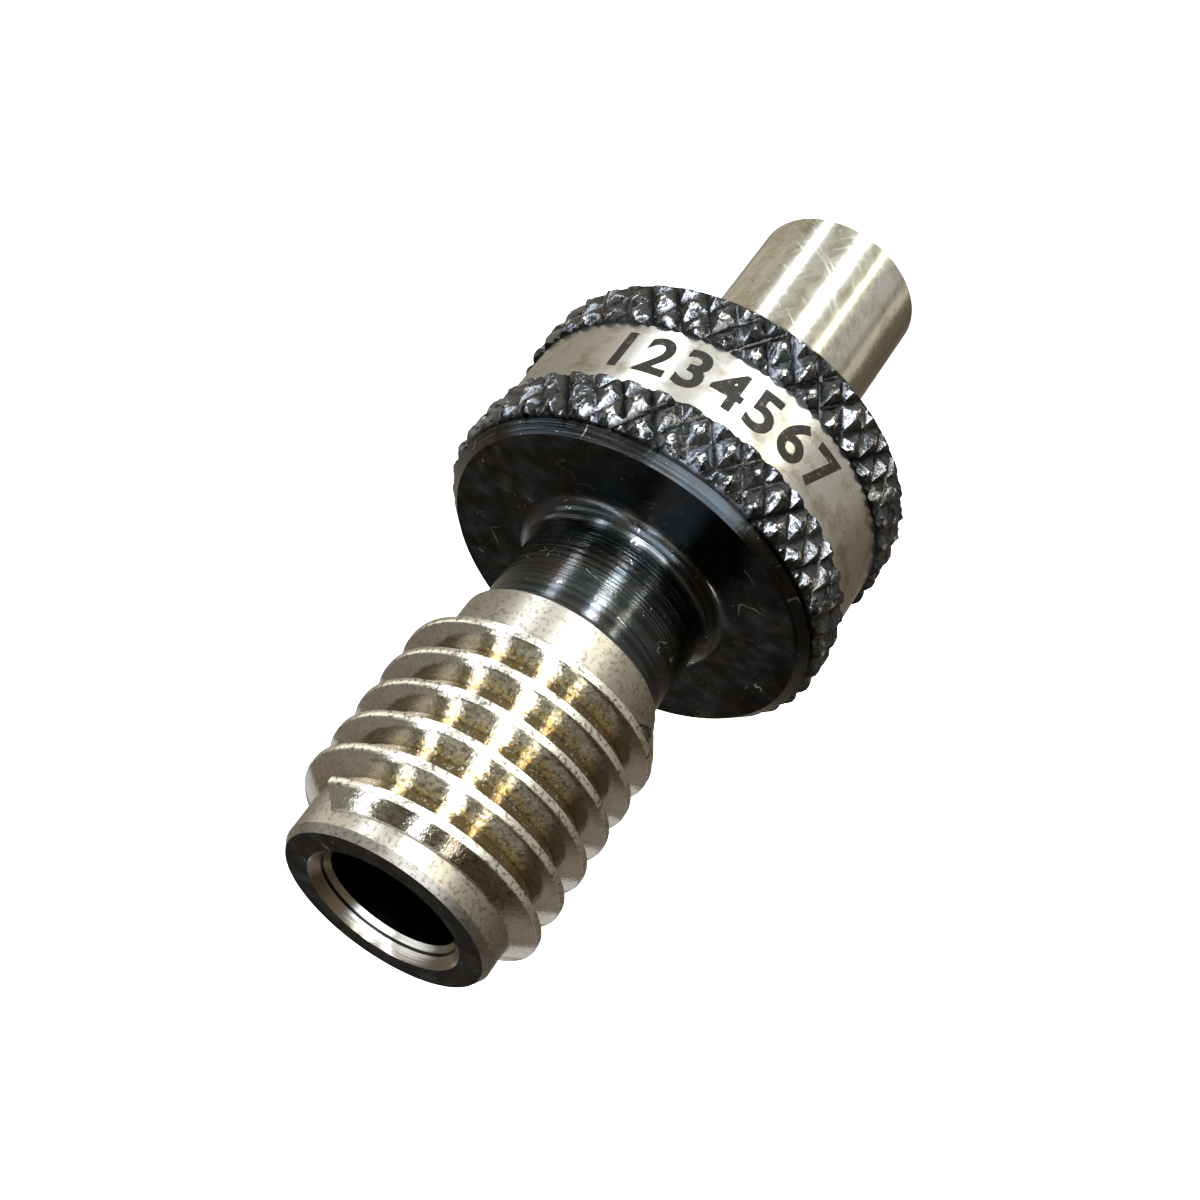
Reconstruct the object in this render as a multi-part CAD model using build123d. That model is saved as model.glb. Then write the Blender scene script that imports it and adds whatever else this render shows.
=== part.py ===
# Thread plug gauge: one turned, knurled and threaded steel body, in millimetres.
# Frame: +Z along the axis. The part stands on its flat shank end at z = 0, the
# measuring thread and the bored nose point up, the origin is the shank end's centre.
import os
from math import asin, cos, degrees, pi, radians, sin, tan

from build123d import *

os.makedirs("parts", exist_ok=True)

# Lengths along the axis, from the shank end up to the nose
SHANK_LENGTH = 10.0
COLLAR_LENGTH = 8.6
NECK_LENGTH = 4.35
MEMBER_LENGTH = 11.65
TOTAL = SHANK_LENGTH + COLLAR_LENGTH + NECK_LENGTH + MEMBER_LENGTH

# Shank
SHANK_DIA = 7.1
SHANK_CHAMFER = 0.25
CENTRE_MOUTH_DIA = 2.0
CENTRE_DRILL_DIA = 1.0
CENTRE_DRILL_DEPTH = 1.8

# Collar with two knurled bands and a marking groove between them
COLLAR_DIA = 16.0
REAR_FACE_DIA = 14.4
FRONT_FACE_DIA = 14.5
COLLAR_CHAMFER = 0.8
MARK_WIDTH = 3.1
MARK_DIA = 15.36
MARK_EDGE = 0.12
KNURL_BAND = (COLLAR_LENGTH - 2 * COLLAR_CHAMFER - MARK_WIDTH) / 2
KNURL_COUNT = 40
KNURL_ANGLE = 33.0
KNURL_DEPTH = 0.30
KNURL_HALF_V = 50.0
# Each band's blank has two flats per groove, so that its diamonds are flat on top
KNURL_FLATS = 2 * KNURL_COUNT
# One row of diamonds per band: distance from the nose and angle of a diamond
REAR_ROW = (22.20, 6.60)
FRONT_ROW = (17.00, 2.25)

# Neck
NECK_DIA = 7.5
NECK_FILLET = 0.8

# Threaded member: a metric thread of 1.5 mm pitch, 60 degree flanks
PITCH = 1.5
PITCH_DIA = 9.026
CREST_FLAT = 0.28
FLANK = tan(radians(30.0))
MAJOR_DIA = PITCH_DIA + (PITCH / 2 - CREST_FLAT) / FLANK
ROOT_FLAT = 0.25
ROOT_DIA = PITCH_DIA - (PITCH / 2 - ROOT_FLAT) / FLANK
MEMBER_REAR_CHAMFER = (ROOT_DIA - NECK_DIA) / 2
NOSE_CHAMFER = 0.30
NOSE_FACE_DIA = 7.8

# Where the thread runs: angles are turned anticlockwise from +X seen from above
THREAD_END_ANGLE = 80.0
THREAD_TURNS = (2043.0) / 360.0
THREAD_END_Z = TOTAL - 9.661 + CREST_FLAT / 2 - PITCH * 100.0 / 360.0

# The ramp that is left behind the last crest, on one side only
RAMP_ANGLE = 152.5
RAMP_SHIFT = 1.56
RAMP_TOP_Z = TOTAL - 9.85
RAMP_LOW_Z = TOTAL - 11.30
RAMP_TOP_R = 3.935
RAMP_LOW_R = 3.06

# Bore and countersink in the nose
BORE_DIA = 5.0
BORE_DEPTH = 11.0
SINK_DIA = 5.95
SINK_DEPTH = 0.65
DRILL_POINT = 59.0

# Heights that follow from the sizes above
Z_REAR = SHANK_LENGTH
Z_MARK_LOW = Z_REAR + COLLAR_CHAMFER + KNURL_BAND
Z_MARK_HIGH = Z_MARK_LOW + MARK_WIDTH
Z_FRONT = Z_REAR + COLLAR_LENGTH
Z_MEMBER = Z_FRONT + NECK_LENGTH


def turned_blank() -> Part:
    """Revolve the half profile of the whole body, bores included."""
    shank_r = SHANK_DIA / 2
    core_r = REAR_FACE_DIA / 2 - 0.5
    mark_r = MARK_DIA / 2
    neck_r = NECK_DIA / 2
    root_r = ROOT_DIA / 2
    bore_r = BORE_DIA / 2
    mouth_r = CENTRE_MOUTH_DIA / 2
    drill_r = CENTRE_DRILL_DIA / 2
    mouth_depth = (mouth_r - drill_r) / tan(radians(30.0))
    fillet_mid = NECK_FILLET * (1 - cos(pi / 4))
    with BuildPart() as blank:
        with BuildSketch(Plane.XZ):
            with BuildLine():
                Polyline(
                    (mouth_r, 0),
                    (shank_r - SHANK_CHAMFER, 0),
                    (shank_r, SHANK_CHAMFER),
                    (shank_r, Z_REAR),
                    (core_r, Z_REAR),
                    (core_r, Z_MARK_LOW - 1.0),
                    (mark_r, Z_MARK_LOW - 1.0),
                    (mark_r, Z_MARK_HIGH + 1.0),
                    (core_r, Z_MARK_HIGH + 1.0),
                    (core_r, Z_FRONT),
                    (neck_r + NECK_FILLET, Z_FRONT),
                )
                ThreePointArc(
                    (neck_r + NECK_FILLET, Z_FRONT),
                    (neck_r + fillet_mid, Z_FRONT + fillet_mid),
                    (neck_r, Z_FRONT + NECK_FILLET),
                )
                Polyline(
                    (neck_r, Z_FRONT + NECK_FILLET),
                    (neck_r, Z_MEMBER),
                    (root_r, Z_MEMBER + MEMBER_REAR_CHAMFER),
                    (root_r, TOTAL - NOSE_CHAMFER),
                    (NOSE_FACE_DIA / 2, TOTAL),
                    (SINK_DIA / 2, TOTAL),
                    (bore_r, TOTAL - SINK_DEPTH),
                    (bore_r, TOTAL - BORE_DEPTH),
                    (0, TOTAL - BORE_DEPTH - bore_r / tan(radians(DRILL_POINT))),
                    (0, CENTRE_DRILL_DEPTH + drill_r / tan(radians(DRILL_POINT))),
                    (drill_r, CENTRE_DRILL_DEPTH),
                    (drill_r, mouth_depth),
                    (mouth_r, 0),
                )
            make_face()
        revolve(axis=Axis.Z)
    return blank.part


def thread_ridge() -> Solid:
    """Sweep the crest profile along the helix, its foot sunk into the core."""
    height = PITCH * THREAD_TURNS
    foot = 0.10
    crest_r = MAJOR_DIA / 2
    foot_r = ROOT_DIA / 2 - foot
    half_crest = CREST_FLAT / 2
    half_foot = half_crest + (crest_r - foot_r) * FLANK
    path = Helix(pitch=PITCH, height=height, radius=crest_r)
    section = Plane.XZ * Polygon(
        (foot_r, -half_foot),
        (crest_r, -half_crest),
        (crest_r, half_crest),
        (foot_r, half_foot),
        align=None,
    )
    ridge = sweep(section, path=path, is_frenet=True)
    return Pos(0, 0, THREAD_END_Z) * Rot(0, 0, THREAD_END_ANGLE) * ridge


def rear_ramp() -> Part:
    """The ramp behind the last crest: an off-centre cone inside a centred one."""
    height = RAMP_TOP_Z - RAMP_LOW_Z
    mid = (RAMP_TOP_Z + RAMP_LOW_Z) / 2
    off = Pos(
        RAMP_SHIFT * cos(radians(RAMP_ANGLE)),
        RAMP_SHIFT * sin(radians(RAMP_ANGLE)),
        mid,
    ) * Cone(RAMP_LOW_R, RAMP_TOP_R, height)
    slope = tan(radians(27.0))
    top_r = MAJOR_DIA / 2 - 0.10
    centred = Pos(0, 0, mid) * Cone(top_r - height * slope, top_r, height)
    inner = Pos(0, 0, mid) * Cylinder(BORE_DIA / 2 + 0.4, height)
    return (off & centred) - inner


def band_blank(stations: list, turn: float) -> Part:
    """Loft a many-sided disc through (height, radius) stations, turned by an angle."""
    whole = None
    for (z_low, r_low), (z_high, r_high) in zip(stations, stations[1:]):
        rings = [
            Plane.XY.offset(z) * Rot(0, 0, turn) * RegularPolygon(r, KNURL_FLATS, major_radius=False)
            for z, r in ((z_low, r_low), (z_high, r_high))
        ]
        piece = loft(rings, ruled=True)
        whole = piece if whole is None else whole + piece
    return whole


def knurl_tools(z_mid: float, row: tuple, lean: int) -> list:
    """One straight V cutter per groove of a band; lean is +1 or -1.

    The cutters of both leans cross half a step beside the diamonds of the row.
    """
    row_z, row_angle = TOTAL - row[0], row[1]
    step = 360.0 / KNURL_COUNT
    drift = degrees((row_z - z_mid) * tan(radians(KNURL_ANGLE)) / (COLLAR_DIA / 2))
    first = row_angle + step / 2 + lean * drift
    apex_r = COLLAR_DIA / 2 - KNURL_DEPTH
    out_r = COLLAR_DIA / 2 + 0.06
    half = (out_r - apex_r) * tan(radians(KNURL_HALF_V))
    length = (KNURL_BAND + 1.5) / cos(radians(KNURL_ANGLE))
    section = Polygon((apex_r, 0), (out_r, -half), (out_r, half), align=None)
    bar = Pos(0, 0, -length / 2) * extrude(section, amount=length, dir=(0, 0, 1))
    leaned = Pos(0, 0, z_mid) * Rot(lean * KNURL_ANGLE, 0, 0) * bar
    return [Rot(0, 0, first + step * i) * leaned for i in range(KNURL_COUNT)]


collar_r = COLLAR_DIA / 2
flat_step = 360.0 / KNURL_FLATS
rear_band = band_blank(
    [
        (Z_REAR, REAR_FACE_DIA / 2),
        (Z_REAR + COLLAR_CHAMFER, collar_r),
        (Z_MARK_LOW - MARK_EDGE, collar_r),
        (Z_MARK_LOW, collar_r - MARK_EDGE),
    ],
    REAR_ROW[1] + flat_step / 2,
)
front_band = band_blank(
    [
        (Z_MARK_HIGH, collar_r - MARK_EDGE),
        (Z_MARK_HIGH + MARK_EDGE, collar_r),
        (Z_FRONT - COLLAR_CHAMFER, collar_r),
        (Z_FRONT, FRONT_FACE_DIA / 2),
    ],
    FRONT_ROW[1] + flat_step / 2,
)
rear_mid = Z_REAR + COLLAR_CHAMFER + KNURL_BAND / 2
front_mid = Z_MARK_HIGH + KNURL_BAND / 2
inner = Pos(0, 0, (Z_REAR + Z_FRONT) / 2) * Cylinder(REAR_FACE_DIA / 2 - 1.0, COLLAR_LENGTH)
for lean in (1, -1):
    rear_band = rear_band - knurl_tools(rear_mid, REAR_ROW, lean)
    front_band = front_band - knurl_tools(front_mid, FRONT_ROW, lean)
body = turned_blank() + (rear_band - inner) + (front_band - inner)
body = body + thread_ridge()
body = body + rear_ramp()

solids = body.solids()
gauge = max(solids, key=lambda s: s.volume)
gauge.label = "gauge_body"
print("solids", len(solids), "volume", round(gauge.volume, 2), "valid", gauge.is_valid)
box = gauge.bounding_box()
print("box", box.min, box.max)
export_step(gauge, "parts/gauge_body.step")
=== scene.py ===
"""Thread plug gauge: a hollow-nosed threaded member, a knurled collar and a shank.

Everything is in metres in the frame of the CAD model: +Z runs along the axis to
the nose, and the part stands on its shank end at z = 0. Sizes in the classes are
in millimetres and are turned to metres when a mesh is made.
"""
from __future__ import annotations

import logging
import math
from dataclasses import dataclass, field
from enum import Enum
from functools import cached_property, partial
from typing import Any, Callable

import bmesh
import bpy
import numpy as np
from mathutils import Matrix, Vector

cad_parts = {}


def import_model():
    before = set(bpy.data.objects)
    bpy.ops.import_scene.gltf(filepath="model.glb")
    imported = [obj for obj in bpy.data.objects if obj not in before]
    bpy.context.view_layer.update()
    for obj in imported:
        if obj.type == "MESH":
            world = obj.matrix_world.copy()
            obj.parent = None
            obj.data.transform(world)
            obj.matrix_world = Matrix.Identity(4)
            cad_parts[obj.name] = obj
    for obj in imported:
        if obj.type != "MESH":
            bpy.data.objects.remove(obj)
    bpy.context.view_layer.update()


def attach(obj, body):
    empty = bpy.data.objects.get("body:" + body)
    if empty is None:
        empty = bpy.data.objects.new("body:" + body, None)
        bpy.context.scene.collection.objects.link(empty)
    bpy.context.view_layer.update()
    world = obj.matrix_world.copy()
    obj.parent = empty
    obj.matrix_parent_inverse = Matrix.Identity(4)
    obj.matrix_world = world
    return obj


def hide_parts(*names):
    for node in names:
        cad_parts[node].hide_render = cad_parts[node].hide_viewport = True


LOG = logging.getLogger("gauge")
MM = 0.001
NODE = "gauge_body"
BODY = "root"

# Columns of every turned grid, and their angles
COLUMNS = 480
ANGLES = np.arange(COLUMNS) * (2 * math.pi / COLUMNS)
DEGREES = np.arange(COLUMNS) * (360.0 / COLUMNS)

# Half the angle of a drill's point, and the angle of the front of the part
DRILL_POINT = 59.0
FRONT = 270.0

# A pair of numbers, a point, and a node setting that eases in and out
Span = tuple[float, float]
Point = tuple[float, float, float]
SOFT = {"interpolation_type": "SMOOTHSTEP"}


class Finish(Enum):
    """Which finish a face carries; the value is the material's slot index."""

    BLACK = 0
    KNURL = 1
    FLANK = 2
    BAND = 3
    SHANK = 4
    SINK = 5
    FILL = 6


def put(name: str, data: Any) -> bpy.types.Object:
    """Make an object from its data and put it into the scene.

    Args:
        name: The object's name.
        data: Its mesh, curve, light or camera.

    Returns:
        The object.
    """
    thing = bpy.data.objects.new(name, data)
    bpy.context.scene.collection.objects.link(thing)
    return thing


# Colours and nodes


def linear(code: str) -> tuple[float, float, float, float]:
    """Turn an sRGB hex code into linear RGBA.

    Args:
        code: Six hex digits, with or without a leading hash.

    Returns:
        Linear red, green and blue, and an alpha of 1.
    """
    digits = code.lstrip("#")
    values = np.array([int(digits[i : i + 2], 16) / 255.0 for i in (0, 2, 4)])
    low = values / 12.92
    high = ((values + 0.055) / 1.055) ** 2.4
    red, green, blue = np.where(values <= 0.04045, low, high)
    return float(red), float(green), float(blue), 1.0


def add(tree: bpy.types.NodeTree, kind: str, *values: Any, **settings: Any) -> Any:
    """Add one node with its settings and links.

    Args:
        tree: The node tree.
        kind: The node's type, without ShaderNode in front.
        values: What the inputs in use get, in their order. A socket is linked,
            None leaves the input alone, a text is a colour's hex code, and
            anything else is the input's value.
        settings: Properties of the node, the stops of a colour ramp as pairs of
            place and hex code, and inputs by name, which begin with a capital
            and have _ for a space.

    Returns:
        The first output in use, or None where the node has no output.
    """
    node = tree.nodes.new(f"ShaderNode{kind}")
    named = {key: settings.pop(key) for key in list(settings) if key[0].isupper()}
    stops = settings.pop("stops", ())
    if stops:
        points = node.color_ramp.elements
        while len(points) < len(stops):
            points.new(0.5)
        for point, (place, tone) in zip(points, stops):
            point.position, point.color = place, linear(tone)
    for key, value in settings.items():
        setattr(node, key, value)
    filled = list(zip([socket for socket in node.inputs if socket.enabled], values))
    filled += [(node.inputs[key.replace("_", " ")], value) for key, value in named.items()]
    for socket, value in filled:
        if isinstance(value, bpy.types.NodeSocket):
            tree.links.new(value, socket)
        elif value is not None:
            socket.default_value = linear(value) if isinstance(value, str) else value
    return next((socket for socket in node.outputs if socket.enabled), None)


@dataclass(frozen=True)
class Pattern:
    """Patches, specks or lines from noise on the millimetre coordinates.

    scale is how many features a millimetre holds, in all directions or along X,
    Y and Z. detail counts the octaves, fine is the strength of the small ones,
    bend distorts them, and lean tips the pattern round Y by so many degrees.
    Where low and high are given, the noise is 0 up to low and share from high on.
    """

    scale: float | Point
    detail: float
    fine: float
    low: float | None = None
    high: float | None = None
    share: float = 1.0
    bend: float = 0.0
    lean: float = 0.0


@dataclass(frozen=True)
class Relief:
    """A bump: its pattern, its strength and its depth in millimetres."""

    pattern: Pattern
    strength: float
    depth: float


@dataclass
class Shader:
    """A material's nodes, with coordinates in millimetres that are made when needed."""

    name: str
    material: bpy.types.Material = field(init=False)
    add: Callable[..., Any] = field(init=False)

    def __post_init__(self) -> None:
        """Make the material with an empty node tree."""
        self.material = bpy.data.materials.new(self.name)
        self.material.use_nodes = True
        self.material.node_tree.nodes.clear()
        self.add = partial(add, self.material.node_tree)

    @cached_property
    def place(self) -> Any:
        """Give the place on the part in millimetres."""
        metres = self.add("TexCoord").node.outputs["Object"]
        return self.add("VectorMath", metres, 1 / MM, operation="SCALE")

    @cached_property
    def axes(self) -> tuple[Any, ...]:
        """Give the place along X, Y and Z."""
        return tuple(self.add("SeparateXYZ", self.place).node.outputs)

    @cached_property
    def radius(self) -> Any:
        """Give the distance from the part's axis."""
        flat = self.add("CombineXYZ", *self.axes[:2])
        return self.add("VectorMath", flat, operation="LENGTH")

    @cached_property
    def upward(self) -> Any:
        """Give how far the surface faces the nose, from 1 to -1 for away from it."""
        normal = self.add("TexCoord").node.outputs["Normal"]
        return self.add("SeparateXYZ", normal).node.outputs["Z"]

    def draw(self, pattern: Pattern) -> Any:
        """Add the nodes of a pattern.

        Args:
            pattern: The pattern. One with its own scale along each axis is
                stretched before the noise.

        Returns:
            The socket with the pattern's value.
        """
        place, scale = self.place, pattern.scale
        if pattern.lean:
            angle = math.radians(pattern.lean)
            place = self.add("VectorRotate", place, Angle=angle, rotation_type="Y_AXIS")
        if isinstance(scale, tuple):
            place, scale = self.add("VectorMath", place, scale, operation="MULTIPLY"), 1.0
        noise = self.add(
            "TexNoise", place, scale, pattern.detail, pattern.fine, Distortion=pattern.bend
        )
        if pattern.low is None:
            return noise
        return self.add("MapRange", noise, pattern.low, pattern.high, 0.0, pattern.share, **SOFT)

    def layers(self, colour: Any, *coats: tuple[Any, Any]) -> Any:
        """Lay colours over one another, each by its own share.

        Args:
            colour: The lowest colour.
            coats: Pairs of share and colour, from the lowest up.

        Returns:
            The socket with the colour.
        """
        for share, coat in coats:
            colour = self.add("Mix", share, colour, coat, data_type="RGBA")
        return colour

    def relief(self, *bumps: Relief) -> Any:
        """Lay bumps over one another.

        Args:
            bumps: The bumps, from the lowest up.

        Returns:
            The socket with the bent normal.
        """
        normal = None
        for bump in bumps:
            height = self.draw(bump.pattern)
            normal = self.add(
                "Bump", bump.strength, bump.depth * MM, Height=height, Normal=normal
            )
        return normal

    def close(self, **inputs: Any) -> bpy.types.Material:
        """Add the surface shader and the output.

        Args:
            inputs: The surface shader's inputs by name.

        Returns:
            The finished material.
        """
        self.add("OutputMaterial", self.add("BsdfPrincipled", **inputs))
        return self.material


# Finishes


@dataclass(frozen=True)
class BlackOxide:
    """Black oxide on turned tool steel: deep black with a dull metal sheen.

    The eye gets fine turning lines, faint brown and blue mottling, and a few pale
    specks and curved scratches where the coat is chipped. A scratch runs where
    slow noise crosses its middle.
    """

    name: str = "steel_black_oxide_turned"
    coat: str = "#4a5154"
    mottle: str = "#4c4844"
    groove: str = "#17191b"
    speck: str = "#d8d6cf"

    # Mottling 2 mm wide, and turning lines 0.1 mm apart, as a fine feed leaves them
    clouds: Pattern = Pattern(0.55, 4.0, 0.6, 0.42, 0.66)
    lines: Pattern = Pattern((0.12, 0.12, 9.0), 2.0, 0.6, 0.46, 0.60, share=0.5)

    # Chips and scratches, drawn wider than real ones so that they show
    chips: Pattern = Pattern(3.2, 3.0, 0.7, 0.68, 0.73)
    curves: Pattern = Pattern(0.5, 2.0, 0.5, bend=0.8)
    noise_middle: float = 0.5
    hair_width: Span = (0.007, 0.002)
    hair_places: Pattern = Pattern(0.9, 2.0, 0.6, 0.57, 0.62, share=0.7)

    # Smears 0.8 mm wide, rings of the tool's feed, and the coat's grain drawn coarse
    smears: Pattern = Pattern(1.3, 3.0, 0.6, 0.3, 0.75, share=0.12)
    roughness: float = 0.12
    bumps: tuple[Relief, ...] = (
        Relief(Pattern((0.2, 0.2, 13.0), 2.0, 0.5), 0.7, 0.022),
        Relief(Pattern(7.0, 2.0, 0.6), 0.6, 0.008),
    )

    def build(self) -> bpy.types.Material:
        """Make the material.

        Returns:
            The material.
        """
        shade = Shader(self.name)
        add, draw = shade.add, shade.draw
        away = add("Math", draw(self.curves), self.noise_middle, operation="SUBTRACT")
        hairs = add("MapRange", add("Math", away, operation="ABSOLUTE"), *self.hair_width, **SOFT)
        hairs = add("Math", hairs, draw(self.hair_places), operation="MULTIPLY")
        flecks = add("Math", draw(self.chips), hairs, operation="MAXIMUM")
        return shade.close(
            Base_Color=shade.layers(
                self.coat,
                (draw(self.clouds), self.mottle),
                (draw(self.lines), self.groove),
                (flecks, self.speck),
            ),
            Metallic=1.0,
            Roughness=add("Math", draw(self.smears), self.roughness, operation="ADD"),
            Normal=shade.relief(*self.bumps),
        )


@dataclass(frozen=True)
class KnurlOxide:
    """Black oxide over rolled knurls, rubbed bright on the tips of the diamonds.

    The eye gets black valleys, grey tips and small white glints. The valleys are dark
    with dirt and painted shade below the radius where the coat begins; noise moves
    that radius, so the dark edge is uneven.
    """

    name: str = "steel_black_oxide_knurled"
    # Dirt and painted shade in the valleys, also the colour of the bare spots
    valley_dirt_and_shade: str = "#1b1b1b"
    coat: str = "#56595d"
    tip: str = "#dcdcda"

    # Noise for the uneven edge of the dirt and painted shade in the valleys, bare spots
    # and rubbed places 0.2 to 0.5 mm wide, on diamonds of 1.3 mm
    dirt_and_shade: Pattern = Pattern(2.1, 4.0, 0.65)
    dirt_and_shade_depth: float = 0.30
    coat_radii: Span = (7.82, 7.98)
    spots: Pattern = Pattern(4.2, 3.0, 0.6, 0.53, 0.63, share=0.75)
    rubbed: Pattern = Pattern(2.6, 3.0, 0.65, 0.50, 0.62)
    tip_radii: Span = (7.92, 7.99)
    roughness: float = 0.15

    # Pressed metal is rough where the rolls tore it, in grains of 0.2 mm
    bumps: tuple[Relief, ...] = (Relief(Pattern(5.0, 3.0, 0.6), 0.7, 0.028),)

    def build(self) -> bpy.types.Material:
        """Make the material.

        Returns:
            The material.
        """
        shade = Shader(self.name)
        add, draw = shade.add, shade.draw
        # The valleys below the coat's radius get dirt and painted shade, with an uneven edge
        dirt_and_shade = add("Math", draw(self.dirt_and_shade), self.dirt_and_shade_depth, operation="MULTIPLY")
        reach = add("Math", shade.radius, dirt_and_shade, operation="ADD")
        tips = add("MapRange", shade.radius, *self.tip_radii, **SOFT)
        return shade.close(
            Base_Color=shade.layers(
                self.valley_dirt_and_shade,
                (add("MapRange", reach, *self.coat_radii, **SOFT), self.coat),
                (draw(self.spots), self.valley_dirt_and_shade),
                (add("Math", tips, draw(self.rubbed), operation="MULTIPLY"), self.tip),
            ),
            Metallic=1.0,
            Roughness=self.roughness,
            Normal=shade.relief(*self.bumps),
        )


@dataclass(frozen=True)
class GroundThread:
    """Ground thread of hardened steel, with dried oil in its roots.

    The eye gets bright crests and plain ends, satin grey flanks and gold-brown
    residue that gets thicker towards the root, broken by small specks, and painted
    shade deep in the roots. To the left and right, painted sheen lightens the oiled
    steel and thins the residue, and painted shade greys the flanks behind the crests.
    """

    name: str = "steel_ground_thread_oiled"
    steel: str = "#bcbbb5"
    stain: str = "#a09c92"
    # Painted sheen on the thread's sides, to the left and right
    side_sheen: str = "#cfccc5"
    oil: str = "#b39c66"
    # Grime dots, and painted shade in the roots
    grime_and_root_shade: str = "#66563a"
    worn: str = "#e4e1d8"
    dulled: str = "#a6a298"
    speck: str = "#7d766a"
    # Painted shade on the flanks behind the crests, at the sides
    side_shade: str = "#8f8a82"

    # Heights of the plain ends, and radii of the core, the crests, the residue and the painted
    # shade in the roots
    rear_end: Span = (24.9, 24.8)
    nose_end: Span = (32.8, 33.1)
    core_radii: Span = (4.20, 4.12)
    crest_radii: Span = (4.86, 4.89)
    film_radii: Span = (4.67, 4.23)
    film_heights: Span = (33.0, 32.6)
    root_shade_radii: Span = (4.24, 4.08)

    # How far a flank faces the shank, and how far aside the painted sheen and shade of the sides
    # begin
    behind_facing: Span = (-0.3, -0.6)
    sides_middle: float = -0.35
    side_shading_reach: Span = (2.5, 3.3)

    # Stains 0.9 mm wide, and specks, dots and sparks of 0.1 to 0.3 mm
    patches: Pattern = Pattern((1.1, 1.1, 1.6), 4.0, 0.6, 0.40, 0.62)
    specks: Pattern = Pattern((3.5, 3.5, 5.0), 4.0, 0.7)
    film_specks: Span = (0.30, 0.62)
    dots: Pattern = Pattern(6.0, 3.0, 0.65, 0.50, 0.64)
    sparks: Pattern = Pattern(8.0, 2.0, 0.6, 0.60, 0.68, share=0.6)
    # Shares of the painted sheen and shade at the sides, of the painted shade in the roots, and of
    # the dots
    side_sheen_share: float = 0.8
    side_sheen_thinning_share: float = 0.6
    root_shade_share: float = 0.8
    dots_dirt: float = 0.55
    dots_share: float = 0.9
    side_shade_share: float = 0.8

    roughness: float = 0.05
    specks_roughness: float = 0.07
    crest_roughness: float = 0.18
    plain_roughness: float = 0.27

    # Grinding lines, far finer in fact than the 0.08 mm that they need to show
    bumps: tuple[Relief, ...] = (
        Relief(Pattern((0.5, 0.5, 12.0), 2.0, 0.5), 0.5, 0.006),
        Relief(Pattern(7.0, 3.0, 0.65), 0.6, 0.009),
    )

    def build(self) -> bpy.types.Material:
        """Make the material.

        Returns:
            The material.
        """
        shade = Shader(self.name)
        add, draw, radius = shade.add, shade.draw, shade.radius
        sideways, _, height = shade.axes

        # Where the surface is plain or worn, and where the sides get painted sheen and shade
        ends = add(
            "Math",
            add("MapRange", height, *self.rear_end, **SOFT),
            add("MapRange", height, *self.nose_end, **SOFT),
            operation="MAXIMUM",
        )
        core = add("MapRange", radius, *self.core_radii, **SOFT)
        plain = add("Math", ends, core, operation="MULTIPLY")
        crest = add("MapRange", radius, *self.crest_radii, **SOFT)
        behind = add("MapRange", shade.upward, *self.behind_facing, **SOFT)
        worn = add("Math", crest, plain, operation="MAXIMUM")
        worn = add("Math", behind, worn, operation="MAXIMUM")
        # To the left and right, painted sheen lightens the oiled steel and thins the residue, and
        # painted shade greys the flanks behind the crests
        aside = add("Math", sideways, self.sides_middle, operation="SUBTRACT")
        aside = add("Math", aside, operation="ABSOLUTE")
        side_shading = add("MapRange", aside, *self.side_shading_reach, **SOFT)
        side_sheen = add("Math", side_shading, self.side_sheen_share, operation="MULTIPLY")
        side_sheen_thinning = add("Math", side_shading, self.side_sheen_thinning_share, operation="MULTIPLY")
        left = add("Math", 1.0, side_sheen_thinning, operation="SUBTRACT")

        # How thick the oil lies, and where grime dots and painted shade in the roots darken it;
        # painted sheen at the sides thins both
        specks = draw(self.specks)
        film = left
        for source, span in (
            (radius, self.film_radii),
            (specks, self.film_specks),
            (height, self.film_heights),
        ):
            share = add("MapRange", source, *span, **SOFT)
            film = add("Math", film, share, operation="MULTIPLY")
        dots = draw(self.dots)
        # Painted shade darkens the thread towards its roots; grime dots darken it at random
        deep = add("MapRange", radius, *self.root_shade_radii, 0.0, self.root_shade_share, **SOFT)
        dirt_and_shade = add("Math", dots, self.dots_dirt, operation="MULTIPLY")
        dirt_and_shade = add("Math", deep, dirt_and_shade, operation="MAXIMUM")
        dirt_and_shade = add("Math", dirt_and_shade, left, operation="MULTIPLY")
        oiled = shade.layers(
            self.steel,
            (draw(self.patches), self.stain),
            (side_sheen, self.side_sheen),
            (film, self.oil),
            (dirt_and_shade, self.grime_and_root_shade),
            (draw(self.sparks), self.worn),
        )

        # The worn places, greyed by painted shade at the sides
        side_shade_behind = add("Math", behind, self.side_shade_share, operation="MULTIPLY")
        bare = shade.layers(
            self.worn,
            (plain, self.dulled),
            (add("Math", dots, self.dots_share, operation="MULTIPLY"), self.speck),
            (add("Math", side_shading, side_shade_behind, operation="MULTIPLY"), self.side_shade),
        )

        grain = add("Math", specks, self.specks_roughness, operation="MULTIPLY")
        grain = add("Math", grain, self.roughness, operation="ADD")
        dull = add(
            "Math",
            add("Math", crest, self.crest_roughness, operation="MULTIPLY"),
            add("Math", plain, self.plain_roughness, operation="MULTIPLY"),
            operation="MAXIMUM",
        )
        return shade.close(
            Base_Color=shade.layers(oiled, (worn, bare)),
            Metallic=1.0,
            Roughness=add("Math", dull, grain, operation="ADD"),
            Normal=shade.relief(*self.bumps),
        )


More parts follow.
